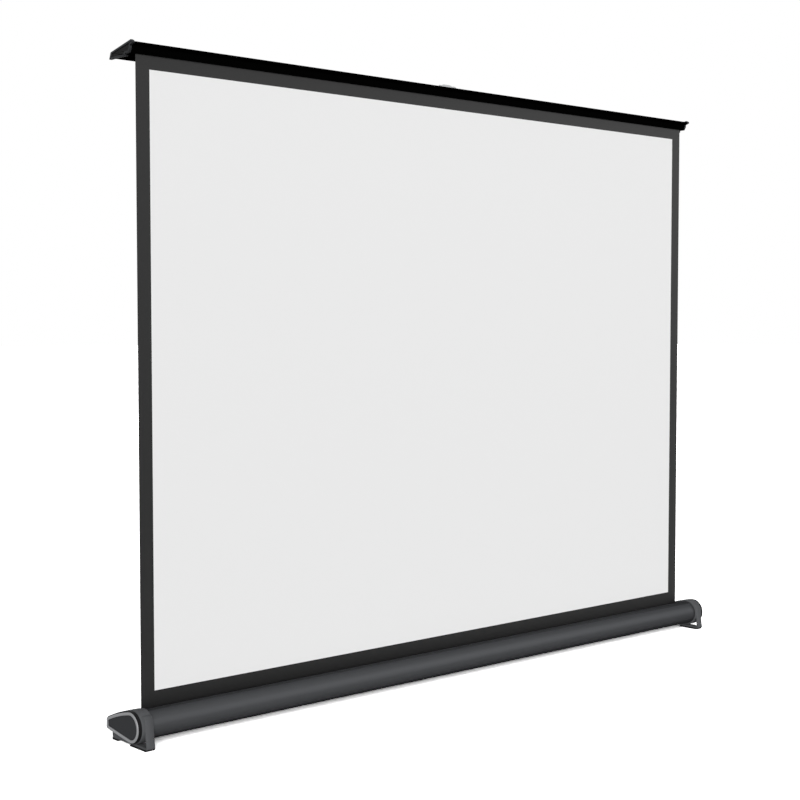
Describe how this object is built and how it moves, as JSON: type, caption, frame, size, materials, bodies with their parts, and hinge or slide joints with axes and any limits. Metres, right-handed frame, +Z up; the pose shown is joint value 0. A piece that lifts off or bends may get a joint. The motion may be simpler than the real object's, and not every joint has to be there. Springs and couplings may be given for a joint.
{
  "type": "table-top pull-up projector screen",
  "caption": "Table-top pull-up projector screen: a roller housing on feet, a bordered white fabric and a top bar carried by a folding scissor frame.",
  "frame": {"origin": "on the table, midway along the housing, under the front face of the fabric", "axes": "+X along the width (to the viewer's right), +Y to the rear, +Z up"},
  "size_m": [1.1106, 0.0851, 0.8611],
  "materials": {
    "housing_grey": "dark grey anodised",
    "bar_black": "black powder coat",
    "plastic_dark": "fine grained moulding",
    "plastic_graphite": "fine grained moulding, near black",
    "plastic_black": "satin moulding",
    "frame_grey": "satin silver paint",
    "plastic_light": "light grey moulding",
    "pad_rubber": "matt",
    "arm_steel": "dark zinc",
    "pin_steel": "bright zinc",
    "tube_aluminium": "mill finish",
    "slip_plastic": "natural nylon",
    "fabric_white": "matt white projection surface",
    "fabric_black": "matt black masking"
  },
  "bodies": {
    "base": {"housing_extrusion": "housing_grey", "rear_fence": "housing_grey", "slot_guide": "slip_plastic", "end_cap_left": "plastic_black", "end_cap_right": "plastic_black", "end_ring_left": "frame_grey", "end_ring_right": "frame_grey", "end_inlay_left": "plastic_graphite", "end_inlay_right": "plastic_graphite", "cap_screw_nose_left": "pin_steel", "cap_screw_nose_right": "pin_steel", "cap_screw_tail_left": "pin_steel", "cap_screw_tail_right": "pin_steel", "foot_left": "plastic_dark", "foot_right": "plastic_dark", "toe_pad_left": "pad_rubber", "toe_pad_right": "pad_rubber", "heel_pad_left": "pad_rubber", "heel_pad_right": "pad_rubber", "roller_bracket_left": "pin_steel", "roller_bracket_right": "pin_steel", "spring_arbor": "pin_steel", "roller_spring": "pin_steel", "base_bracket": "arm_steel", "base_pivot_pin": "pin_steel", "base_track": "tube_aluminium", "viewing_surface": "fabric_white", "border_left": "fabric_black", "border_right": "fabric_black", "border_top": "fabric_black", "border_bottom": "fabric_black"},
    "roller": {"roller_tube": "tube_aluminium", "fabric_roll": "fabric_black", "roller_plug_left": "plastic_black", "roller_plug_right": "plastic_black"},
    "lower_arm_a": {"arm_a_lower": "arm_steel", "cross_pin_lower": "pin_steel", "knee_pin_right": "pin_steel"},
    "lower_arm_b": {"arm_b_lower": "arm_steel", "base_slide_pin": "pin_steel"},
    "lower_shoe": {"base_shoe": "slip_plastic"},
    "upper_arm_b": {"arm_b_upper": "arm_steel", "cross_pin_upper": "pin_steel"},
    "upper_arm_a": {"arm_a_upper": "arm_steel", "knee_pin_left": "pin_steel", "top_slide_pin": "pin_steel"},
    "upper_shoe": {"top_shoe": "slip_plastic"},
    "top": {"top_bar": "bar_black", "top_bar_cap_left": "plastic_graphite", "top_bar_cap_right": "plastic_graphite", "top_spline": "slip_plastic", "top_bracket": "arm_steel", "top_pivot_pin": "pin_steel", "top_track": "tube_aluminium", "handle_ear_left": "plastic_light", "handle_ear_right": "plastic_light", "handle_pin": "pin_steel", "button_collar": "plastic_light"},
    "lift_handle": {"handle": "plastic_light"},
    "button": {"release_button": "plastic_light"}
  },
  "joints": [
    {"name": "screen_fold", "type": "hinge", "parent": "base", "child": "lower_arm_a", "pos_m": [-0.38, 0.0119, 0.0246], "axis": [0, 1, 0], "range_deg": [0, 31.66], "deforming": ["viewing_surface", "border_left", "border_right", "border_top", "border_bottom"]},
    {"name": "lower_cross", "type": "hinge", "parent": "lower_arm_a", "child": "lower_arm_b", "pos_m": [-0.0594, 0.0152, 0.2286], "axis": [0, 1, 0], "range_deg": [-63.4, 0]},
    {"name": "lower_shoe_pivot", "type": "hinge", "parent": "lower_arm_b", "child": "lower_shoe", "pos_m": [0.2612, 0.0234, 0.0246], "axis": [0, 1, 0], "range_deg": [0, 31.7]},
    {"name": "right_knee", "type": "hinge", "parent": "lower_arm_a", "child": "upper_arm_b", "pos_m": [0.2612, 0.0152, 0.4326], "axis": [0, 1, 0], "range_deg": [-63.4, 0]},
    {"name": "upper_cross", "type": "hinge", "parent": "upper_arm_b", "child": "upper_arm_a", "pos_m": [-0.0594, 0.0152, 0.6366], "axis": [0, 1, 0], "range_deg": [0, 63.4]},
    {"name": "upper_shoe_pivot", "type": "hinge", "parent": "upper_arm_a", "child": "upper_shoe", "pos_m": [0.2612, 0.0071, 0.8406], "axis": [0, 1, 0], "range_deg": [-31.7, 0]},
    {"name": "top_pivot", "type": "hinge", "parent": "upper_arm_b", "child": "top", "pos_m": [-0.38, 0.0226, 0.8406], "axis": [0, 1, 0], "range_deg": [0, 31.7]},
    {"name": "roller_spin", "type": "hinge", "parent": "base", "child": "roller", "pos_m": [0, -0.0109, 0.0266], "axis": [1, 0, 0], "range_deg": [-3673, 0]},
    {"name": "handle_flip", "type": "hinge", "parent": "top", "child": "lift_handle", "pos_m": [-0.0066, 0.00596, 0.85493], "axis": [1, 0, 0], "range_deg": [0, 95]},
    {"name": "button_press", "type": "slide", "parent": "top", "child": "button", "axis": [0, -0.2005, -0.9797], "range_m": [0, 0.0022], "stiffness_N_per_m": 600, "springref_m": -0.001}
  ],
  "couplings": [
    {"joint": "lower_cross", "follows": "screen_fold", "ratio": -2},
    {"joint": "lower_shoe_pivot", "follows": "screen_fold", "ratio": 1},
    {"joint": "right_knee", "follows": "screen_fold", "ratio": -2},
    {"joint": "upper_cross", "follows": "screen_fold", "ratio": 2},
    {"joint": "upper_shoe_pivot", "follows": "screen_fold", "ratio": -1},
    {"joint": "top_pivot", "follows": "screen_fold", "ratio": 1},
    {"joint": "roller_spin", "follows": "screen_fold", "ratio": -116}
  ]
}
